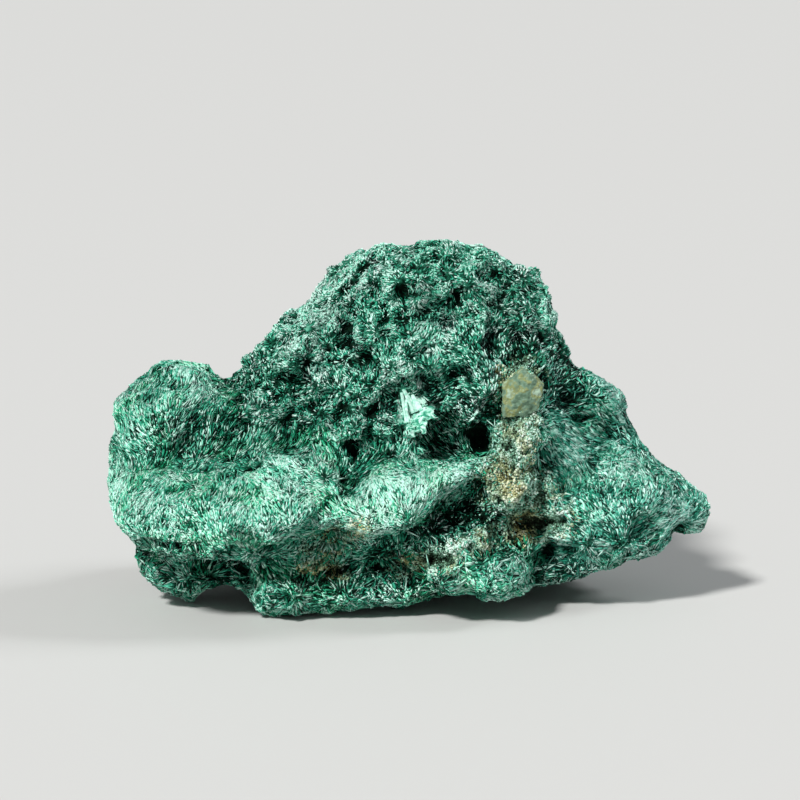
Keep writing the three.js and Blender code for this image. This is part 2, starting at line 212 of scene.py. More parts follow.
# %% Regions of the stone
FRONT_ENDS = (11, 4)  # how far back the front's forms have faded out, and where they are still whole
VEIN_BANDS = [
    {"through": [(17.6, 37), (16.8, 29), (16.2, 23)], "reach": 3.3, "share": 1},
    {"through": [(15.4, 20.5), (18.4, 17.2), (21, 15)], "reach": 5.0, "share": 1},
    {"through": [(16.4, 11.3), (20.5, 9.9), (25.3, 11.6)], "reach": 1.3, "share": 1},
    {"through": [(16, 11.5), (9, 9.5), (3, 6.6), (-1.6, 6)], "reach": 2.2, "share": 1},
    {"through": [(-15.5, 7.8), (-9, 11.8)], "reach": 2.6, "share": 0.8},
    {"through": [(-16.5, 5.8), (-10.5, 4.8)], "reach": 1.2, "share": 1},
]


def find_regions(piece):
    places = vertex_places(piece)
    across, up, back = seen_from_front(places)
    facing = vertex_directions(piece) @ np.array(to_camera)
    front = soft_step(facing, -0.25, 0.1) * soft_step(back, *FRONT_ENDS)
    found = {}
    found["wing"] = front * soft_step(across, 20, 23) * soft_step(up, 41, 38)
    found["lobe"] = front * in_oval(places, (-40, 31), (12, 10), 0, 0.12)
    swell = in_oval(places, (-26.5, 17.6), (26, 11), 3, 0.1)
    ridge = in_oval(places, (-1.5, 19.6), (17, 7), 26, 0.15)
    found["swell"] = front * np.maximum(swell, ridge)
    found["lower"] = front * soft_step(up, 11, 8) * soft_step(across, 24, 20) * (1 - found["swell"])
    vein = np.zeros(len(places))
    for band in VEIN_BANDS:
        vein = np.maximum(vein, band["share"] * near_line(places, band["through"], band["reach"]))
    found["vein"] = front * vein
    rest = 1 - np.max([found[name] for name in ("wing", "lobe", "swell", "lower")], axis=0)
    found["dome"] = front * rest
    found["back"] = 1 - front
    return found


REGIONS = find_regions(stone)
print("Share of the points:", {name: round(float(mask.mean()), 2) for name, mask in REGIONS.items()})

# %% [markdown]
# Fibrous malachite breaks along its bundles, so its skin is made of many small blocks, each a little
# higher, lower or more tilted than its neighbour. A displacement by noise alone would look soft like
# clay. Here every point of the skin belongs to the nearest of some scattered middles, and moves with it.
# Large blocks come first and small ones after them, and the silky regions are broken less.

# %% Broken blocks
def nearest_of(middles, places):
    tree = kdtree.KDTree(len(middles))
    for number, middle in enumerate(middles):
        tree.insert(middle, number)
    tree.balance()
    return np.array([tree.find(place)[1] for place in places])


def break_skin(piece, weights, seed, spacing, height, tilt):
    rng = np.random.default_rng(seed)
    places = vertex_places(piece)
    directions = vertex_directions(piece)
    count = int(len(places) * SKIN_FACE ** 2 / spacing ** 2)
    middles = places[rng.choice(len(places), count, replace=False)]
    # Noise in the places that are looked up makes the borders between the blocks uneven.
    wander = np.stack([patches(places, 0.5 * spacing, 10.0 * axis + seed) for axis in range(3)], axis=1)
    mine = nearest_of(middles, places + 0.35 * spacing * wander)
    # Most blocks lie a little low and some stand out, because the random share is bent towards zero.
    rise = height * (rng.random(count) ** 1.5 - 0.55)
    slope = tilt * rng.standard_normal((count, 3))
    push = rise[mine] + ((places - middles[mine]) * slope[mine]).sum(axis=1)
    push = np.clip(push, -1.4 * height, 0.45 * height) * weights
    move_vertices(piece, places + directions * push[:, None])
    return count


broken = 1 - 0.5 * REGIONS["wing"] - 0.6 * REGIONS["swell"] - 0.5 * REGIONS["lobe"] - 0.4 * REGIONS["vein"]
large_blocks = break_skin(stone, broken, seed=3, spacing=4.6, height=1.1, tilt=0.12)
small_blocks = break_skin(stone, 0.4 + 0.6 * broken, seed=4, spacing=2.1, height=0.6, tilt=0.14)
print("The skin is broken into", large_blocks, "large and", small_blocks, "small blocks")

# %% [markdown]
# Finer relief is displaced along the skin's directions by procedural textures, each where its mask lets
# it: round heads of fibre bundles, deep pits on the dome and in the vein, and grit everywhere. The mask
# is a group of the mesh's points, whose weights are set in a few steps, because a whole step is one quick
# call.

# %% Relief
WEIGHT_STEPS = 20


def region_group(piece, name, weights):
    group = piece.vertex_groups.new(name=name)
    steps = np.round(np.clip(weights, 0, 1) * WEIGHT_STEPS).astype(int)
    for step in range(1, WEIGHT_STEPS + 1):
        members = np.nonzero(steps == step)[0]
        if len(members):
            group.add(members.tolist(), step / WEIGHT_STEPS, "REPLACE")
    return group.name


def raise_relief(piece, name, size, height, weights, contrast, middle=0.5):
    texture = bpy.data.textures.new(name, "CLOUDS")
    texture.noise_scale = size * MM
    texture.contrast = contrast
    texture.noise_depth = 2
    apply_modifier(piece, "DISPLACE", texture=texture, texture_coords="LOCAL", mid_level=middle,
                   strength=height * MM, vertex_group=region_group(piece, name, weights))


open_dome = REGIONS["dome"] * (1 - 0.6 * REGIONS["vein"])
gritty = 0.5 + 0.5 * np.maximum(broken, REGIONS["vein"])
raise_relief(stone, "pits", size=2.4, height=1.6, weights=open_dome, contrast=2.2, middle=0.65)
raise_relief(stone, "knobs", size=3.0, height=0.8, weights=0.3 + 0.7 * broken, contrast=1.6, middle=0.6)
raise_relief(stone, "pores", size=1.3, height=1.1, weights=REGIONS["vein"], contrast=2, middle=0.6)
raise_relief(stone, "grit", size=0.9, height=0.6, weights=gritty, contrast=1.4, middle=0.6)
print("Relief raised on", len(stone.data.vertices), "points")

# %% [markdown]
# Cracks and holes are drawn one by one: each is a line of a few points, or an oval, as seen from the
# front.
# They could be cut out with other solids, but that leaves clean edges, which a broken stone doesn't have.
# So the skin near each of them is pushed in instead.

# %% Where the cracks and holes are
CRACKS = [
    {"through": [(-30, 20.6), (-27, 21.5), (-23.5, 22.6)], "reach": 0.4, "depth": 1.0},
    {"through": [(-10.6, 20.8), (-10.9, 18), (-13, 15.6)], "reach": 0.45, "depth": 1.4},
    {"through": [(-24.5, 8.6), (-19.5, 10.2), (-15.5, 13.6), (-12.5, 16.2)], "reach": 0.45, "depth": 1.3},
    {"through": [(-42, 10.5), (-38, 9.6), (-33, 9.2)], "reach": 0.6, "depth": 1.2},
    {"through": [(-18, 4.2), (-8, 6), (2, 5.4)], "reach": 0.6, "depth": 1.1},
    {"through": [(-9.8, 51.2), (-7.8, 53.8), (-5.6, 56)], "reach": 0.6, "depth": 2.0},
    {"through": [(31, 16.5), (32.4, 12.5), (33.6, 9.4)], "reach": 0.35, "depth": 0.7},
    {"through": [(-30, 8.4), (-26, 3), (-22, -0.5)], "reach": 0.5, "depth": 0.9},
    {"through": [(26, 35.5), (32, 30), (38, 22)], "reach": 0.5, "depth": 0.8},
]
HOLES = [
    {"at": (-9.2, 24.8), "half": (1.0, 1.9), "depth": 2.2},
    {"at": (10.8, 26.8), "half": (1.8, 2.4), "depth": 3.6},
    {"at": (7.4, 50.1), "half": (0.9, 1.4), "depth": 2.2},
    {"at": (-0.8, 50.6), "half": (1.9, 0.8), "depth": 1.5},
    {"at": (-9.7, 44.8), "half": (1.2, 0.9), "depth": 1.8},
    {"at": (-10.7, 41.9), "half": (0.9, 0.8), "depth": 1.8},
    {"at": (20.6, 43.6), "half": (0.8, 0.7), "depth": 1.7},
    {"at": (4.3, 55.6), "half": (0.7, 1.0), "depth": 1.1},
    {"at": (27.4, 30.1), "half": (1.3, 0.9), "depth": 1.7},
    {"at": (29.8, 30.9), "half": (0.9, 0.7), "depth": 1.2},
    {"at": (30.9, 25.4), "half": (1.0, 0.8), "depth": 1.3},
    {"at": (22.3, 8), "half": (1.4, 1.9), "depth": 2.0},
    {"at": (26, 8.4), "half": (0.8, 1.1), "depth": 0.9},
    {"at": (5.2, 7.2), "half": (2.4, 1.2), "depth": 2.6},
    {"at": (-6.6, 39.5), "half": (1.0, 1.2), "depth": 1.2},
    {"at": (-1.3, 45.9), "half": (1.2, 1.0), "depth": 1.2},
    {"at": (-5.8, 31.7), "half": (1.0, 1.6), "depth": 1.8},
    {"at": (16.2, 25.6), "half": (0.8, 1.6), "depth": 1.2},
    {"at": (21, 13.1), "half": (4.0, 0.9), "depth": 2.0},
    {"at": (6.8, 55), "half": (1.4, 0.8), "depth": 0.8},
    {"at": (25, 33.4), "half": (1.6, 1.3), "depth": 1.0},
    {"at": (43.4, 10.8), "half": (0.8, 2.0), "depth": 2.2},
    {"at": (-10.8, 30.5), "half": (1.0, 1.8), "depth": 1.1},
    {"at": (-15, 32.4), "half": (1.6, 1.0), "depth": 1.1},
]
print("Cracks:", len(CRACKS), "and holes:", len(HOLES))

# %% [markdown]
# The push goes mostly along the line of sight, so that a hole near the edge of a form still looks like
# one from the front. Noise makes the cracks and the rims of the holes wander.

# %% Pushing the skin in
SIGHT_SHARE = 1.5  # how much more the line of sight counts than the skin's own direction


def depth_of_cuts(places):
    back = seen_from_front(places)[2]
    wobble = patches(places, 1.7)
    wandering = places + 1.3 * np.stack([wobble, 0 * wobble, patches(places, 1.3, 40)], axis=1)
    push = np.zeros(len(places))
    for crack in CRACKS:
        away = distance_to_line(places, crack["through"]) + 0.7 * wobble
        push = np.maximum(push, crack["depth"] * np.exp(-(away / crack["reach"]) ** 2))
    for hole in HOLES:
        push = np.maximum(push, hole["depth"] * in_oval(wandering, hole["at"], hole["half"], 0, 0.5))
    return push * soft_step(back, *FRONT_ENDS)


def carve(piece):
    places = vertex_places(piece)
    push = depth_of_cuts(places) * (1 - REGIONS["back"])
    outward = vertex_directions(piece) + SIGHT_SHARE * np.array(to_camera)
    move_vertices(piece, places - outward / np.linalg.norm(outward, axis=1)[:, None] * push[:, None])
    return push


carved = carve(stone)
print("Deepest cut in mm:", round(float(carved.max()), 1))

# %% [markdown]
# All this pushing leaves a few single points far from their neighbours, which would show as black
# needles. A smoothing of the whole skin would take the relief away, so only such points move, to the
# middle of their neighbours. Then the skin is kept inside the solid's box, because the solid gives the
# stone its size.

# %% Calming spikes
SPIKE = 0.38  # how far a point may be from the middle of its neighbours, in mm
SPIKE_ROUNDS = 6
CLEAR_OF_BOX = 0.05


def mesh_edges(piece):
    return read_rows(piece.data.edges, "vertices", 2, np.int64)


def neighbour_means(places, edges):
    total = np.zeros_like(places)
    for axis in range(3):
        total[:, axis] = np.bincount(edges[:, 0], places[edges[:, 1], axis], len(places))
        total[:, axis] += np.bincount(edges[:, 1], places[edges[:, 0], axis], len(places))
    return total / np.maximum(np.bincount(edges.ravel(), minlength=len(places)), 1)[:, None]


def calm_spikes(places, edges):
    for turn in range(SPIKE_ROUNDS):
        means = neighbour_means(places, edges)
        spiky = np.linalg.norm(places - means, axis=1) > SPIKE
        places[spiky] = means[spiky]
    return places


def keep_in_box(places, margin):
    return np.clip(places, np.array(cad_low) / MM + margin, np.array(cad_high) / MM - margin)


before = vertex_places(stone)
calmed = calm_spikes(before.copy(), mesh_edges(stone))
move_vertices(stone, keep_in_box(calmed, CLEAR_OF_BOX))
print("Points that were calmed:", int((before != calmed).any(axis=1).sum()))

# %% [markdown]
# Hollows are painted darker than what stands out: this is painted shade, because little light gets there.
# How hollow a place is follows from the skin itself: its smoothed copy lies outside it there. A few rounds
# of smoothing find the small pits, and many rounds find the wide hollows.

# %% How hollow the skin is
PIT_ROUNDS = 10
WIDE_ROUNDS = 120


def hollowness(piece, rounds):
    places = vertex_places(piece)
    edges = mesh_edges(piece)
    smooth = places
    for turn in range(rounds):
        smooth = neighbour_means(smooth, edges)
    return ((smooth - places) * vertex_directions(piece)).sum(axis=1)


# Painted shade: this number darkens the colour in the hollows and in the cuts.
hollow = 0.8 * hollowness(stone, PIT_ROUNDS) + 0.6 * hollowness(stone, WIDE_ROUNDS) + 0.5 * carved
hollow = np.clip(hollow, -1, 2)
print("Hollowness from", round(float(hollow.min()), 2), "to", round(float(hollow.max()), 2))

# %% [markdown]
# Under the dome the solid juts out of a dark pocket: this is the foot of a tuft of pale crystals. The
# skin has to be pale there, and hardly any green blades may grow on it. A mask as seen from the front
# would also catch the pocket behind, so only the points that stand far enough to the front count.

# %% The foot of the pale tuft
TUFT_OVAL = {"at": (1.2, 29.8), "half": (3.2, 3.4), "edge": 0.2}
TUFT_STARTS = -13.0  # how far back, in mm
TUFT_FADE = 0.9

stone_places = vertex_places(stone)
on_tuft = in_oval(stone_places, TUFT_OVAL["at"], TUFT_OVAL["half"], edge=TUFT_OVAL["edge"])
pale_blades = on_tuft * soft_step(seen_from_front(stone_places)[2], TUFT_STARTS, TUFT_STARTS - TUFT_FADE)
print("Points of the skin that are pale:", int((pale_blades > 0.5).sum()))

# %% [markdown]
# A material can't call these functions. It reads attributes: numbers that are stored at the points of the
# mesh, here how much of a vein, how hollow, which sets the painted shade, and how pale each point is.

# %% Masks that the finish reads
def paint_attribute(piece, name, values):
    attribute = piece.data.attributes.new(name, "FLOAT", "POINT")
    attribute.data.foreach_set("value", np.clip(values, 0, 1).astype(np.float32))


paint_attribute(stone, "vein", REGIONS["vein"])
paint_attribute(stone, "hollow", 0.35 + 0.6 * hollow)
paint_attribute(stone, "pale", pale_blades)
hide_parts("malachite")
print("Attributes of the skin:", stone.data.attributes.keys())

# %% [markdown]
# The stone isn't one green. Some patches are bleached nearly white where the light silk lies open, and
# some light ones are painted light where the light falls. Others are almost black in the pockets and low
# down, which is painted shade. Each patch is an oval as seen from the front and a shift of its tone.

# %% Light and dark patches
LIGHT_SHADE_AND_TONE_PATCHES = [  # the middle, the half sizes, the turn in degrees and the shift of each
    ((-3, 19.5), (8, 4.4), 24, 0.22),
    ((7, 19.4), (4.5, 2.2), 45, 0.24),
    ((-17, 20.4), (6, 3.6), 10, 0.2),
    ((-18, 7), (6, 1.8), 12, 0.22),
    ((-6, 12.6), (7, 2.2), 26, 0.18),
    ((-33.5, 35), (4.4, 3.4), -30, 0.2),
    ((-47.5, 24), (2.2, 7), 0, 0.16),
    ((-14, 48.5), (9, 4), 50, 0.3),
    ((-5, 54.6), (6, 3), 25, 0.2),
    ((7.5, 46.6), (3.4, 2.2), 0, 0.26),
    ((6, 42.4), (4.6, 2), 20, 0.18),
    ((-1.5, 46), (4, 3), 10, 0.12),
    ((22.8, 50), (2.6, 5.4), 15, 0.17),
    ((34.5, 23), (5.4, 3.2), -38, 0.18),
    ((42.4, 15), (2.4, 4.2), -40, 0.1),
    ((24, 25.8), (3.8, 4.6), 0, 0.17),
    ((13.4, 27.4), (1.6, 3.6), 10, 0.3),
    ((21, 30), (2.2, 3.4), 0, 0.12),
    ((15.5, 5), (4.6, 3.4), 40, -0.02),
    ((6, 3.6), (4, 2.6), 25, 0.1),
    ((0.8, 33), (3.4, 2.4), -30, 0.2),
    ((-19.5, 30.6), (9.5, 4.4), 16, -0.09),
    ((-15, 45.5), (6, 5), 40, 0.14),
    ((-36, 27), (9, 3.4), 4, -0.14),
    ((20, 40.5), (6.4, 3.4), -18, -0.28),
    ((15.5, 49), (6, 5.4), 0, -0.08),
    ((9.6, 31), (3.6, 3.6), 0, -0.24),
    ((2, 25.6), (7.4, 3.2), 14, -0.16),
    ((7.5, 13.4), (8, 2.8), 30, -0.3),
    ((-35, 6.5), (9, 4.6), -8, -0.13),
    ((-6, 3.4), (12, 2.6), 2, -0.4),
    ((24, 34.4), (3.4, 4), -30, -0.36),
    ((25, 4.4), (5, 2), 14, -0.2),
    ((34, 5.6), (11, 1.8), 10, -0.14),
    ((-25.5, 40), (5, 3.4), 40, -0.14),
]


# Adds up the patches' shifts of tone: painted light, painted shade and the silk's own lighter and darker
# tone.
def paint_light_shade_and_tone(places):
    total = np.zeros(len(places))
    for at, half, turn, shift in LIGHT_SHADE_AND_TONE_PATCHES:
        total += shift * in_oval(places, at, half, turn, edge=0.45)
    return total


print("Patches of lighter or darker tone:", len(LIGHT_SHADE_AND_TONE_PATCHES))

# %% [markdown]
# Whatever is planted on the stone needs the skin as triangles. Their areas give every square millimetre
# its fair share of blades, and a search tree finds the nearest place of the skin, or where a line of
# sight that comes from the front meets it.

# %% The skin as triangles
BEFORE_STONE = 200  # from where the lines of sight start, in mm

skin_places = vertex_places(stone)
skin_directions = vertex_directions(stone)
stone.data.calc_loop_triangles()
skin_faces = read_rows(stone.data.loop_triangles, "vertices", 3, np.int64)
corners = skin_places[skin_faces]
first_sides = corners[:, 1] - corners[:, 0]
second_sides = corners[:, 2] - corners[:, 0]
skin_areas = 0.5 * np.linalg.norm(np.cross(first_sides, second_sides), axis=1)
skin_tree = BVHTree.FromPolygons([Vector(p) for p in skin_places], skin_faces.tolist())
print("Skin area in cm2:", round(float(skin_areas.sum()) / 100, 1))


def seen_place(across, up):
    start = MOVED + Vector((across, 0, up)) + BEFORE_STONE * Vector((0, -1, SIGHT_SLOPE))
    return skin_tree.ray_cast(start, Vector((0, 1, -SIGHT_SLOPE)).normalized())[0]


# %% [markdown]
# Blades and grains start at random places of the skin. A triangle is picked by its area and its mask, and
# a random point in it by two numbers, which are folded back where they would leave the triangle.

# %% Random places on the skin
def unit(vectors):
    return vectors / np.maximum(np.linalg.norm(vectors, axis=1), 1e-9)[:, None]


def scatter(rng, weights, count):
    chances = skin_areas * weights[skin_faces].mean(axis=1)
    picked = rng.choice(len(skin_faces), count, p=chances / chances.sum())
    first, second = rng.random((2, count))
    flip = first + second > 1
    first[flip], second[flip] = 1 - first[flip], 1 - second[flip]
    shares = np.stack([1 - first - second, first, second], axis=1)

    def read(values):
        wide_shares = shares[:, :, None] if values.ndim > 1 else shares
        return (values[skin_faces[picked]] * wide_shares).sum(axis=1)
    return read(skin_places), unit(read(skin_directions)), read(hollow)


print("Triangles to plant on:", len(skin_faces))

# %% [markdown]
# Fibres are thousands of slim blades, each a wedge of four faces with an edge for its root and another
# for its tip, like a splinter. They could be hair, but a mesh can be shaped blade by blade and handed on
# as it is. Each blade has one tone, kept in its UV map with the way from root to tip, and the finish
# turns these two numbers into colour. The tone differs very little between the corners, so that the map
# has some area.

# %% Blades as meshes
TONE_WIDTH = 0.002


def new_piece(name, points, faces, uv):
    mesh = bpy.data.meshes.new(name)
    mesh.vertices.add(len(points))
    mesh.vertices.foreach_set("co", (points * MM).ravel())
    mesh.loops.add(3 * len(faces))
    mesh.loops.foreach_set("vertex_index", faces.ravel().astype(np.int32))
    mesh.polygons.add(len(faces))
    mesh.polygons.foreach_set("loop_start", np.arange(0, 3 * len(faces), 3, dtype=np.int32))
    mesh.uv_layers.new(name="OFBake").data.foreach_set("uv", uv.astype(np.float32).ravel())
    mesh.update(calc_edges=True)
    mesh.validate()
    piece = bpy.data.objects.new(name, mesh)
    bpy.context.collection.objects.link(piece)
    return piece


def build_blades(name, roots, tips, normals, widths, tip_widths, rolls, tones):
    count = len(roots)
    way = unit(tips - roots)
    flat = unit(np.cross(way, normals))
    upright = np.cross(way, flat)
    turn = rolls[:, None]
    tip_side = flat * np.cos(turn) + upright * np.sin(turn)
    root_side = np.cross(tip_side, way)
    points = np.stack([
        roots - 0.5 * root_side * widths[:, None], roots + 0.5 * root_side * widths[:, None],
        tips - 0.5 * tip_side * tip_widths[:, None], tips + 0.5 * tip_side * tip_widths[:, None],
    ], axis=1)
    pattern = np.array([[0, 1, 2], [0, 3, 1], [0, 2, 3], [1, 3, 2]])
    faces = pattern[None] + 4 * np.arange(count)[:, None, None]
    handed = np.einsum("ij,ij->i", np.cross(root_side, tip_side), way) < 0
    faces[handed] = faces[handed][:, :, ::-1]
    tone_offsets = np.array([[-1, 1, 0], [-1, 0, 1], [0, -1, 1], [0, 1, -1]]) * TONE_WIDTH
    ways_up = np.array([[0, 0, 1], [0, 1, 0], [0, 1, 1], [0, 1, 1]])
    tones = np.clip(tones, 2 * TONE_WIDTH, 1 - 2 * TONE_WIDTH)
    uv = np.empty((count, 4, 3, 2))
    uv[..., 0] = tones[:, None, None] + tone_offsets
    uv[..., 1] = ways_up
    uv[handed] = uv[handed][:, :, ::-1]
    return new_piece(name, points.reshape(-1, 3), faces.reshape(-1, 3), uv)


# %% [markdown]
# Malachite fibres radiate from the points where they began to grow. Most of these centres are scattered
# at random a little under the skin, and each blade points away from the nearest one. The large sprays of
# the front are listed one by one, each with its centre, its reach and the height above which it is seen.

# %% Ways of growth
SPRAYS = [
    {"at": (-37, 15), "reach": 27, "over": 23}, {"at": (33.6, 7.6), "reach": 15, "over": 9.5},
    {"at": (17, 31), "reach": 19, "over": 2}, {"at": (-17.4, 0.2), "reach": 4.5, "over": 0.6},
    {"at": (-33.7, 3.2), "reach": 6, "over": 3}, {"at": (-26, 9), "reach": 9, "over": -4},
    {"at": (-21.5, 21.5), "reach": 7, "over": 24}, {"at": (-4.6, 37), "reach": 6, "over": 38},
    {"at": (3.3, 40), "reach": 5, "over": 40.5}, {"at": (-1, 10), "reach": 14, "over": 14.5},
    {"at": (8, 38.6), "reach": 5, "over": 39},
]
SPRAYS_END = (12, 6)  # how far back the sprays have faded out, and where they are still whole
SPRAY_SHARE = 0.85


def growing_way(places, directions, middle_count, sunk):
    middles = (places - directions * sunk)[:middle_count]
    away = unit(places - middles[nearest_of(middles, places)])
    across, up, back = seen_from_front(places)
    front = soft_step(back, *SPRAYS_END)
    for spray in reversed(SPRAYS):
        centre = np.array(seen_place(*spray["at"]) or MOVED) + np.array((0, 1.5, 0))
        distance = np.hypot(across - spray["at"][0], up - spray["at"][1])
        share = front * soft_step(distance, spray["reach"], 0.7 * spray["reach"])
        share = (SPRAY_SHARE * share * soft_step(up, spray["over"], spray["over"] + 1.5))[:, None]
        away = unit(away * (1 - share) + unit(places - centre) * share)
    return away


print("Sprays placed by hand:", len(SPRAYS))

# %% [markdown]
# Real silk flashes in some fibres and is dark in their neighbours, so a single tone would look dull, and
# the varied tones paint part of this sheen into the colour. Small tufts of blades share a tone, and each
# blade adds a random share of its own, which also sets its height, so that lower blades are darker:
# painted shade between the blades. Some are nearly black, the hollows are darker as painted shade, and the
# dark patches are speckled more than the light ones.

# %% Tones of the blades
BLADES_IN_TUFT = 9
PATCHES_END = (14, 6)  # how far back the patches have faded out, and where they are still whole
HOLLOW_SHADE = 0.27
DARK_SHARE = 0.12
DARK_SHIFT = 0.3


def blade_tones(rng, seed, places, hollows, tuft, height_share, tone, spread):
    tuft_places = places[:len(places) // BLADES_IN_TUFT]
    tuft_tone = 0.6 * patches(tuft_places, 6.0, seed) + 0.9 * patches(tuft_places, 1.9, seed + 9)
    tuft_tone += 0.5 * rng.standard_normal(len(tuft_places))
    # The patches shift the tone: painted light and painted shade, partly the silk's own tone.
    shift = paint_light_shade_and_tone(places) * soft_step(places[:, 1], *PATCHES_END)
    speckle = 0.75 + 3.2 * np.clip(-shift, 0, 0.25)
    lot = 0.7 * tuft_tone[tuft] + speckle * rng.standard_normal(len(places))
    # Blades in the hollows are darker: painted shade.
    tones = tone + shift + spread * lot - HOLLOW_SHADE * hollows
    # Lower blades are darker and higher ones lighter, as painted shade between the blades; some are
    # shifted nearly black.
    tones += 0.45 * (height_share - 0.5) - DARK_SHIFT * (rng.random(len(places)) < DARK_SHARE)
    return tones


# %% [markdown]
# On this stone the fibres are broken short and pressed into a compact crust with a crisp edge. So a
# blade's root is sunk in the skin, and its tip isn't raised freely: it is laid back on the skin at a
# small height of its own. A slow flow and a little noise bend the ways of growth, and blades that would
# bridge a deep cut are left out.

# %% Growing the fibres
ROOT_DEPTH = 0.07
WAY_NOISE = 0.24


def lay_on_skin(points, heights):
    laid = np.empty_like(points)
    for number, point in enumerate(points):
        spot, normal = skin_tree.find_nearest(point)[:2]
        laid[number] = spot + float(heights[number]) * normal
    return laid


def grow_fibres(name, seed, weights, count, height, longest, width, middles, sunk, comb, sway,
                tone, spread):
    rng = np.random.default_rng(seed)
    bare = np.maximum(0.7 * np.clip(carved / 1.8, 0, 1), 0.94 * pale_blades)
    places, directions, hollows = scatter(rng, weights * (1 - bare), count)
    flow = np.stack([patches(places, 5.5, seed + 20 * axis) for axis in range(3)], axis=1)
    away = growing_way(places, directions, middles, sunk) + np.array(comb) + sway * flow
    along = away - directions * (away * directions).sum(axis=1)[:, None]
    along += WAY_NOISE * rng.standard_normal(away.shape)
    tuft_count = count // BLADES_IN_TUFT
    tuft = nearest_of(places[:tuft_count], places)
    tuft_luck = rng.random(tuft_count)
    height_share = 0.5 * tuft_luck[tuft] + 0.5 * rng.random(count)
    high = height[0] + (height[1] - height[0]) * height_share
    reach = longest * (0.35 + 0.65 * rng.random(count) ** 1.4)
    tips = lay_on_skin(places + unit(along) * reach[:, None], high)
    tones = blade_tones(rng, seed, places, hollows, tuft, height_share, tone, spread)
    tips = keep_in_box(tips, CLEAR_OF_BOX + 0.6 * width)
    roots = keep_in_box(places - directions * ROOT_DEPTH, CLEAR_OF_BOX + 0.6 * width + 0.1)
    widths = width * (0.5 + 1.0 * rng.random(count) ** 1.5)
    tip_widths = widths * (0.3 + 0.7 * rng.random(count))
    rolls = 0.5 * rng.standard_normal(count)
    kept = depth_of_cuts(0.5 * (roots + tips)) < 0.6 + 1.6 * rng.random(count)
    piece = build_blades(name, *[made[kept] for made in (
        roots, tips, directions, widths, tip_widths, rolls, tones)])
    print(name, "has", kept.sum(), "blades; mean tone", round(float(tones.mean()), 2))
    return piece


# %% [markdown]
# Each region has its own habit. The swell is combed upwards like velvet, the lobe and the foot have
# coarser blades, the dome is a crust of short ones round many small centres, the wing is covered by flat
# sprays, and the back has the widest blades, in larger patches.

# %% Fibres of each region
open_skin = 1 - 0.85 * REGIONS["vein"]
swell_fibres = grow_fibres(
    "swell_fibres", 11, REGIONS["swell"] * open_skin, 45000, height=(0.02, 0.26), longest=2.0,
    width=0.28, middles=110, sunk=3, comb=(0.1, 0, 1.1), sway=1.4, tone=0.63, spread=0.38)
lobe_fibres = grow_fibres(
    "lobe_fibres", 12, np.maximum(REGIONS["lobe"], 0.9 * REGIONS["lower"]) * open_skin, 44000,
    height=(0.02, 0.3), longest=2.4, width=0.33, middles=80, sunk=2, comb=(0, 0, 0.2), sway=1.0, tone=0.53,
    spread=0.39)
dome_fibres = grow_fibres(
    "dome_fibres", 13, REGIONS["dome"] * open_skin, 49000, height=(0.04, 0.34), longest=1.4,
    width=0.3, middles=220, sunk=1.2, comb=(0, 0, 0.1), sway=1.6, tone=0.61, spread=0.42)
wing_fibres = grow_fibres(
    "wing_fibres", 14, REGIONS["wing"] * open_skin, 36000, height=(0.02, 0.24), longest=2.2,
    width=0.29, middles=60, sunk=2, comb=(0, 0, 0), sway=1.0, tone=0.54, spread=0.41)
back_fibres = grow_fibres(
    "back_fibres", 15, REGIONS["back"], 40000, height=(0.03, 0.32), longest=2.6,
    width=0.48, middles=160, sunk=4.5, comb=(0, 0, 0.3), sway=2.2, tone=0.59, spread=0.29)

# %% [markdown]
# The vein is the mother rock: a gritty mixture of quartz and iron oxides. A bumpy finish alone would stay
# flat at its edges, so the grit is made of small eight-sided crystals, turned every way and half sunk in
# the skin.

# %% Grains of the vein
GRAIN_SIZES = (0.1, 0.27)
DARK_GRAINS = 0.14


def build_grains(name, seed, weights, count, sizes, tone, spread):
    rng = np.random.default_rng(seed)
    places, directions, hollows = scatter(rng, weights, count)
    size = sizes[0] + (sizes[1] - sizes[0]) * rng.random(count) ** 2
    axes = np.linalg.qr(rng.standard_normal((count, 3, 3)))[0]
    points = np.concatenate([axes, -axes], axis=1) * size[:, None, None]
    points *= 0.6 + 0.8 * rng.random((count, 6, 1))
    points += (places + 0.2 * directions * size[:, None])[:, None]
    turned = np.linalg.det(axes) < 0
    pattern = np.array([[0, 1, 2], [1, 3, 2], [3, 4, 2], [4, 0, 2],
                        [1, 0, 5], [3, 1, 5], [4, 3, 5], [0, 4, 5]])
    faces = np.where(turned[:, None, None], pattern[:, ::-1][None], pattern[None])
    faces = faces + 6 * np.arange(count)[:, None, None]
    # Grains in the hollows are darker: painted shade.
    tones = tone + spread * rng.standard_normal(count) + 0.35 * patches(places, 1.1, seed) - 0.25 * hollows
    tones -= 0.35 * (rng.random(count) < DARK_GRAINS)
    tones = np.clip(tones, 2 * TONE_WIDTH, 1 - 2 * TONE_WIDTH)
    points = keep_in_box(points, CLEAR_OF_BOX)
    uv = np.empty((count, 8, 3, 2))
    uv[..., 0] = tones[:, None, None] + np.array([-1, 1, 0]) * TONE_WIDTH
    uv[..., 1] = rng.random((count, 8, 1)) * 0.9 + np.array([0, 0, 0.06])
    print(name, "has", count, "grains")
    return new_piece(name, points.reshape(-1, 3), faces.reshape(-1, 3), uv)


vein_grains = build_grains(
    "vein_grains", 21, REGIONS["vein"] ** 1.5, 17500, sizes=GRAIN_SIZES, tone=0.66, spread=0.14)

# %% [markdown]
# At the head of the vein sits a flat-faced block of quartz. It starts as a cube, and cleavages give it its
# faces: planes with a direction and a distance from the middle, which cut off what lies beyond them. A
# fine remesh and a little relief take away the look of a machined part. The block is placed where the
# line of sight meets the stone.

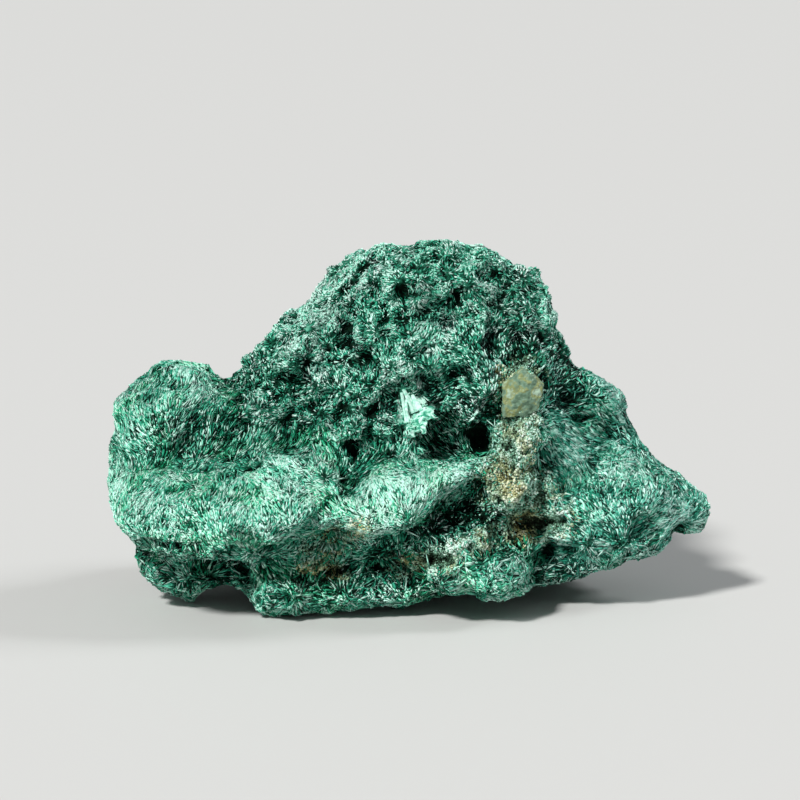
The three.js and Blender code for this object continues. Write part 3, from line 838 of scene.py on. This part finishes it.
# %% The block at the head of the vein
BLOCK_AT = (17.8, 34.3)
BLOCK_SIZE = (6.4, 5.4, 7.4)
CLEAVAGES = [(-0.35, -1, 0.15, 0.36), (0.6, -1, 0.25, 0.4), (0.05, -1, -0.5, 0.42), (0.1, -0.9, 0.8, 0.43),
             (-0.5, 0, 0.85, 0.44), (0.6, 0, 0.8, 0.42), (0.95, 0, -0.3, 0.45), (0.5, 0, -0.85, 0.46)]

bpy.ops.object.select_all(action="DESELECT")
block_place = seen_place(*BLOCK_AT) + Vector((0, 0.4, 0))
bpy.ops.mesh.primitive_cube_add(size=1, location=(0, 0, 0))
block = bpy.context.object
block.name = "vein_block"
bpy.ops.object.mode_set(mode="EDIT")
for x, y, z, away in CLEAVAGES:
    way = Vector((x, y, z)).normalized()
    bpy.ops.mesh.select_all(action="SELECT")
    bpy.ops.mesh.bisect(plane_co=way * away, plane_no=way, use_fill=True, clear_outer=True)
bpy.ops.mesh.select_all(action="SELECT")
bpy.ops.transform.resize(value=tuple(s * MM for s in BLOCK_SIZE), center_override=(0, 0, 0))
bpy.ops.transform.translate(value=tuple(block_place * MM))
bpy.ops.object.mode_set(mode="OBJECT")
apply_modifier(block, "BEVEL", width=0.06 * MM, segments=1, limit_method="ANGLE")
apply_modifier(block, "REMESH", mode="VOXEL", voxel_size=0.16 * MM)
whole_block = np.ones(len(block.data.vertices))
raise_relief(block, "block grit", size=2.2, height=0.3, weights=whole_block, contrast=1.6)
raise_relief(block, "block pits", size=0.7, height=0.3, weights=whole_block, contrast=1.6)
print("The block has", len(block.data.polygons), "faces")

# %% [markdown]
# The pale crystals grew free in a gap, so they have faces of their own. Each is a flat six-sided prism
# with a slanted end.

# %% One pale crystal
FLATNESS = 0.4
CUT_AT = 0.92


def make_crystal(length, half):
    middle = (0, 0, 0.5 * length)
    bpy.ops.mesh.primitive_cylinder_add(vertices=6, radius=half, depth=length, location=middle)
    crystal = bpy.context.object
    bpy.ops.object.mode_set(mode="EDIT")
    bpy.ops.mesh.select_all(action="SELECT")
    bpy.ops.transform.resize(value=(1, FLATNESS, 1))
    slant = Vector((0.6, 0.2, 1)).normalized()
    bpy.ops.mesh.bisect(plane_co=(0, 0, CUT_AT * length), plane_no=slant, use_fill=True, clear_outer=True)
    bpy.ops.object.mode_set(mode="OBJECT")
    return crystal


# %% [markdown]
# Under the dome a tuft of them fans out, and a small chip sits further right. Each crystal starts where
# the line of sight meets the stone and points by its angle in the fan, and it rises as far as the stone
# under its tip asks for.

# %% The tufts of pale crystals
PALE_TUFT = {"at": (0.4, 32.8), "fan": (-84, -42), "count": 13, "length": (4.0, 6.2), "half": 0.3,
             "width": 3.4, "out": (0.4, 1.7)}
PALE_CHIP = {"at": (9.6, 29.9), "fan": (0, 50), "count": 4, "length": (1.0, 1.7), "half": 0.3,
             "width": 0.8, "out": (0.3, 0.8)}


def plant_tuft(name, seed, tuft):
    rng = np.random.default_rng(seed)
    crystals = []
    first_angle, last_angle = tuft["fan"]
    shortest, longest = tuft["length"]
    for number in range(tuft["count"]):
        share = (number + 0.6 * rng.random()) / tuft["count"]
        angle = math.radians(first_angle + (last_angle - first_angle) * share + 6 * rng.standard_normal())
        length = shortest + (longest - shortest) * rng.random()
        half = tuft["half"] * (0.6 + 0.7 * rng.random())
        bpy.ops.object.select_all(action="DESELECT")
        crystal = make_crystal(length * MM, half * MM)
        along = Vector((math.cos(angle), math.sin(angle)))
        beside = Vector((-math.sin(angle), math.cos(angle)))
        start = Vector(tuft["at"]) + (share - 0.5) * tuft["width"] * beside + 1.4 * rng.random() * along
        root = seen_place(*start)
        rise = (seen_place(*(start + length * along)) - root).dot(to_camera)
        rise = min(max(rise, 0), length) + tuft["out"][1] * (0.6 + 0.4 * rng.random())
        root += tuft["out"][0] * to_camera
        pointing = Vector((along.x, 0, 0)) + along.y * picture_up + rise / length * to_camera
        pointing.normalize()
        side = Vector((beside.x, 0, 0)) + beside.y * picture_up
        facing = pointing.cross(side).normalized()
        turn = Matrix((pointing.cross(facing), facing, pointing)).transposed().to_4x4()
        turn = turn @ Matrix.Rotation(0.35 * rng.standard_normal(), 4, "Z")
        crystal.data.transform(Matrix.Translation(root * MM) @ turn)
        crystal.location = (0, 0, 0)
        crystals.append(crystal)
    bpy.ops.object.select_all(action="DESELECT")
    for crystal in crystals:
        crystal.select_set(True)
    bpy.context.view_layer.objects.active = crystals[0]
    bpy.ops.object.join()
    made = bpy.context.object
    made.name = name
    print(name, "has", tuft["count"], "crystals")
    return made


pale_tuft = plant_tuft("pale_tuft", 31, PALE_TUFT)
pale_chip = plant_tuft("pale_chip", 32, PALE_CHIP)

# %% [markdown]
# Each finish is a short tree of nodes. Four helpers make what all of them need: a material with its
# roughness, a ramp of colours, a noise that reads the piece's own coordinates, and a mix of two colours.

# %% Helpers for the finishes
MIX_FACTOR = 0
MIX_FIRST = 6
MIX_SECOND = 7
MIX_RESULT = 2


def new_material(name, roughness, specular=0.12):
    material = bpy.data.materials.new(name)
    material.use_nodes = True
    shader = material.node_tree.nodes["Principled BSDF"]
    shader.inputs["Roughness"].default_value = roughness
    shader.inputs["Specular IOR Level"].default_value = specular
    return material, material.node_tree, shader


def add_ramp(tree, source, stops):
    ramp = tree.nodes.new("ShaderNodeValToRGB")
    elements = ramp.color_ramp.elements
    while len(elements) < len(stops):
        elements.new(0.5)
    for element, (position, colour) in zip(elements, stops):
        element.position = position
        element.color = (*colour, 1)
    tree.links.new(source, ramp.inputs["Fac"])
    return ramp.outputs["Color"]


def add_noise(tree, scale, detail):
    where = tree.nodes.new("ShaderNodeTexCoord")
    made = tree.nodes.new("ShaderNodeTexNoise")
    made.inputs["Scale"].default_value = scale
    made.inputs["Detail"].default_value = detail
    tree.links.new(where.outputs["Object"], made.inputs["Vector"])
    return made.outputs["Fac"]


def blend(tree, kind, share, first, second):
    mix = tree.nodes.new("ShaderNodeMix")
    mix.data_type = "RGBA"
    mix.blend_type = kind
    if isinstance(share, float):
        mix.inputs[MIX_FACTOR].default_value = share
    else:
        tree.links.new(share, mix.inputs[MIX_FACTOR])
    tree.links.new(first, mix.inputs[MIX_FIRST])
    tree.links.new(second, mix.inputs[MIX_SECOND])
    return mix.outputs[MIX_RESULT]


# %% [markdown]
# The fibres' colour is a ramp from near black through deep green and mint to a pale silky green, read by
# the blade's tone. A second ramp of another green takes over in soft patches, and the roots are darker
# than the tips, because little light gets between the fibres.

# %% A finish for fibres and grains
PATCH_SCALE = 190
ROOT_END = 0.65  # the share of a blade's way over which its root's shade fades out


def toned_material(name, stops, other_stops, other_share, root_shade, roughness=0.45):
    material, tree, shader = new_material(name, roughness)
    uv = tree.nodes.new("ShaderNodeUVMap")
    uv.uv_map = "OFBake"
    split = tree.nodes.new("ShaderNodeSeparateXYZ")
    tree.links.new(uv.outputs["UV"], split.inputs[0])
    hue = add_ramp(tree, split.outputs["X"], stops)
    other_hue = add_ramp(tree, split.outputs["X"], other_stops)
    none_of_it, all_of_it = 0.56 - 0.25 * other_share, 0.72 - 0.25 * other_share
    large_noise = add_noise(tree, PATCH_SCALE, 4)
    where_other = add_ramp(tree, large_noise, [(none_of_it, (0, 0, 0)), (all_of_it, (1, 1, 1))])
    colour = blend(tree, "MIX", where_other, hue, other_hue)
    shade = add_ramp(tree, split.outputs["Y"], [(0.0, (root_shade,) * 3), (ROOT_END, (1, 1, 1))])
    tree.links.new(blend(tree, "MULTIPLY", 1.0, colour, shade), shader.inputs["Base Color"])
    return material


# %% [markdown]
# Six ramps give all the hues: mint and emerald for the velvet, silver where fibres catch the light, a
# bluer teal for the sprays, and a pale grit with olive for the vein.

# %% Fibre and grain finishes
MINT = [(0.0, (0.001, 0.012, 0.006)), (0.2, (0.004, 0.085, 0.044)), (0.4, (0.012, 0.28, 0.158)),
        (0.6, (0.075, 0.54, 0.36)), (0.8, (0.28, 0.85, 0.63)), (1.0, (0.66, 1.0, 0.88))]
TEAL = [(0.0, (0.001, 0.014, 0.009)), (0.2, (0.005, 0.085, 0.052)), (0.4, (0.016, 0.25, 0.163)),
        (0.6, (0.08, 0.49, 0.35)), (0.8, (0.28, 0.79, 0.63)), (1.0, (0.66, 0.99, 0.88))]
EMERALD = [(0.0, (0.001, 0.014, 0.006)), (0.2, (0.004, 0.1, 0.04)), (0.4, (0.01, 0.3, 0.135)),
           (0.6, (0.04, 0.55, 0.29)), (0.8, (0.2, 0.83, 0.54)), (1.0, (0.65, 1.0, 0.84))]
SILVER = [(0.0, (0.001, 0.008, 0.006)), (0.2, (0.006, 0.045, 0.032)), (0.4, (0.028, 0.17, 0.118)),
          (0.6, (0.13, 0.43, 0.33)), (0.8, (0.42, 0.78, 0.66)), (1.0, (0.8, 1.0, 0.93))]
GRIT = [(0.0, (0.01, 0.014, 0.008)), (0.25, (0.035, 0.08, 0.045)), (0.45, (0.13, 0.28, 0.18)),
        (0.6, (0.26, 0.5, 0.37)), (0.8, (0.48, 0.76, 0.62)), (1.0, (0.83, 0.98, 0.9))]
OLIVE = [(0.0, (0.012, 0.011, 0.005)), (0.25, (0.07, 0.07, 0.025)), (0.45, (0.2, 0.2, 0.075)),
         (0.6, (0.36, 0.37, 0.16)), (0.8, (0.58, 0.6, 0.33)), (1.0, (0.85, 0.86, 0.62))]

mint_finish = toned_material("mint velvet", MINT, EMERALD, other_share=0.3, root_shade=0.16)
crust_finish = toned_material("mint crust", MINT, SILVER, other_share=0.2, root_shade=0.12)
teal_finish = toned_material("teal sprays", TEAL, MINT, other_share=0.4, root_shade=0.2, roughness=0.4)
grain_finish = toned_material("vein grit", GRIT, OLIVE, other_share=0.34, root_shade=0.9, roughness=0.7)
for piece, finish in [(swell_fibres, mint_finish), (lobe_fibres, mint_finish), (dome_fibres, crust_finish),
                      (wing_fibres, teal_finish), (back_fibres, teal_finish), (vein_grains, grain_finish)]:
    finish_piece(piece, finish)
print("Fibres and grains are finished with", len(bpy.data.materials), "materials so far")

# %% [markdown]
# Between the blades the stone itself shows. It is a mottled green, tan in the vein, darker in the hollows
# as painted shade, and pale at the tuft's foot, and its attributes say where. The relief is real, so a
# faint bump is enough for the finest grain.

# %% The stone's own finish
GREEN_SKIN = [(0.35, (0.002, 0.026, 0.014)), (0.5, (0.014, 0.15, 0.085)),
              (0.6, (0.05, 0.33, 0.21)), (0.72, (0.22, 0.64, 0.46))]
TAN_SKIN = [(0.3, (0.03, 0.035, 0.018)), (0.5, (0.16, 0.2, 0.11)), (0.7, (0.4, 0.5, 0.34))]
PALE_SKIN = [(0.38, (0.04, 0.3, 0.19)), (0.5, (0.26, 0.66, 0.5)), (0.62, (0.62, 0.9, 0.8))]
# Painted shade: the skin's colour is darkened where it is hollow.
HOLLOW_SHADES = [(0.2, (0.8, 0.8, 0.8)), (0.7, (0.03, 0.05, 0.04))]


def add_attribute(tree, name):
    made = tree.nodes.new("ShaderNodeAttribute")
    made.attribute_name = name
    return made.outputs["Fac"]


def stone_material():
    material, tree, shader = new_material("malachite skin", roughness=0.9, specular=0.1)
    green = add_ramp(tree, add_noise(tree, 900, 4), GREEN_SKIN)
    tan = add_ramp(tree, add_noise(tree, 1300, 3), TAN_SKIN)
    pale = add_ramp(tree, add_noise(tree, 1500, 2), PALE_SKIN)
    # Painted shade in the hollows, multiplied into the colour.
    shade = add_ramp(tree, add_attribute(tree, "hollow"), HOLLOW_SHADES)
    colour = blend(tree, "MIX", add_attribute(tree, "vein"), green, tan)
    colour = blend(tree, "MULTIPLY", 1.0, colour, shade)
    colour = blend(tree, "MIX", add_attribute(tree, "pale"), colour, pale)
    tree.links.new(colour, shader.inputs["Base Color"])
    bump = tree.nodes.new("ShaderNodeBump")
    bump.inputs["Strength"].default_value = 0.6
    bump.inputs["Distance"].default_value = 0.15 * MM
    tree.links.new(add_noise(tree, 2600, 2), bump.inputs["Height"])
    tree.links.new(bump.outputs["Normal"], shader.inputs["Normal"])
    return material


finish_piece(stone, stone_material())
print("The stone's finish is", stone.data.materials[0].name)

# %% [markdown]
# The crystals aren't fibrous, so a clouded ramp is enough for them: grey-green with ochre stains for the
# quartz, and pale mint for the tuft. They are smoother than the rest, which gives them a soft shine.

# %% Crystal finishes
def crystal_material(name, scale, stops, roughness):
    material, tree, shader = new_material(name, roughness)
    colour = add_ramp(tree, add_noise(tree, scale, 3), stops)
    tree.links.new(colour, shader.inputs["Base Color"])
    return material


QUARTZ = [(0.36, (0.1, 0.17, 0.11)), (0.46, (0.17, 0.28, 0.2)), (0.56, (0.25, 0.28, 0.11)),
          (0.66, (0.36, 0.5, 0.38))]
PALE = [(0.35, (0.26, 0.66, 0.5)), (0.6, (0.68, 0.94, 0.85))]

finish_piece(block, crystal_material("cloudy quartz", 620, QUARTZ, roughness=0.35))
pale_finish = crystal_material("pale blades", 1500, PALE, roughness=0.3)
for piece in (pale_tuft, pale_chip):
    finish_piece(piece, pale_finish)
print("Materials in all:", len(bpy.data.materials))

# %% [markdown]
# The stone lies on a plain pale floor in soft studio light. A light from the upper left shapes it, a
# dimmer one from the right behind draws its edge, and the world fills the shadows a little.

# %% Floor and lights
FLOOR_HALF = 6.0

bpy.ops.object.select_all(action="DESELECT")
bpy.ops.mesh.primitive_plane_add(size=2 * FLOOR_HALF, location=(0, 0, 0))
floor = bpy.context.object
floor.name = "floor"
floor_finish, floor_tree, floor_shader = new_material("pale floor", 0.6, 0.3)
floor_shader.inputs["Base Color"].default_value = (0.6, 0.6, 0.59, 1)
floor.data.materials.append(floor_finish)


def add_light(name, place, softness, strength, colour):
    bpy.ops.object.light_add(type="SUN", location=place)
    light = bpy.context.object
    light.name = name
    light.data.angle = math.radians(softness)
    light.data.energy = strength
    light.data.color = colour
    light.rotation_euler = (-Vector(place)).to_track_quat("-Z", "Y").to_euler()


add_light("key", (-0.5, -0.6, 0.85), softness=9, strength=3.6, colour=(1.0, 0.99, 0.97))
add_light("rim", (0.75, 0.15, 0.6), softness=16, strength=1.2, colour=(0.96, 0.98, 1.0))
world = bpy.data.worlds.new("soft room")
world.use_nodes = True
world.node_tree.nodes["Background"].inputs["Color"].default_value = (0.93, 0.95, 0.97, 1)
world.node_tree.nodes["Background"].inputs["Strength"].default_value = 0.24
bpy.context.scene.world = world
bpy.context.scene.view_settings.view_transform = "Standard"
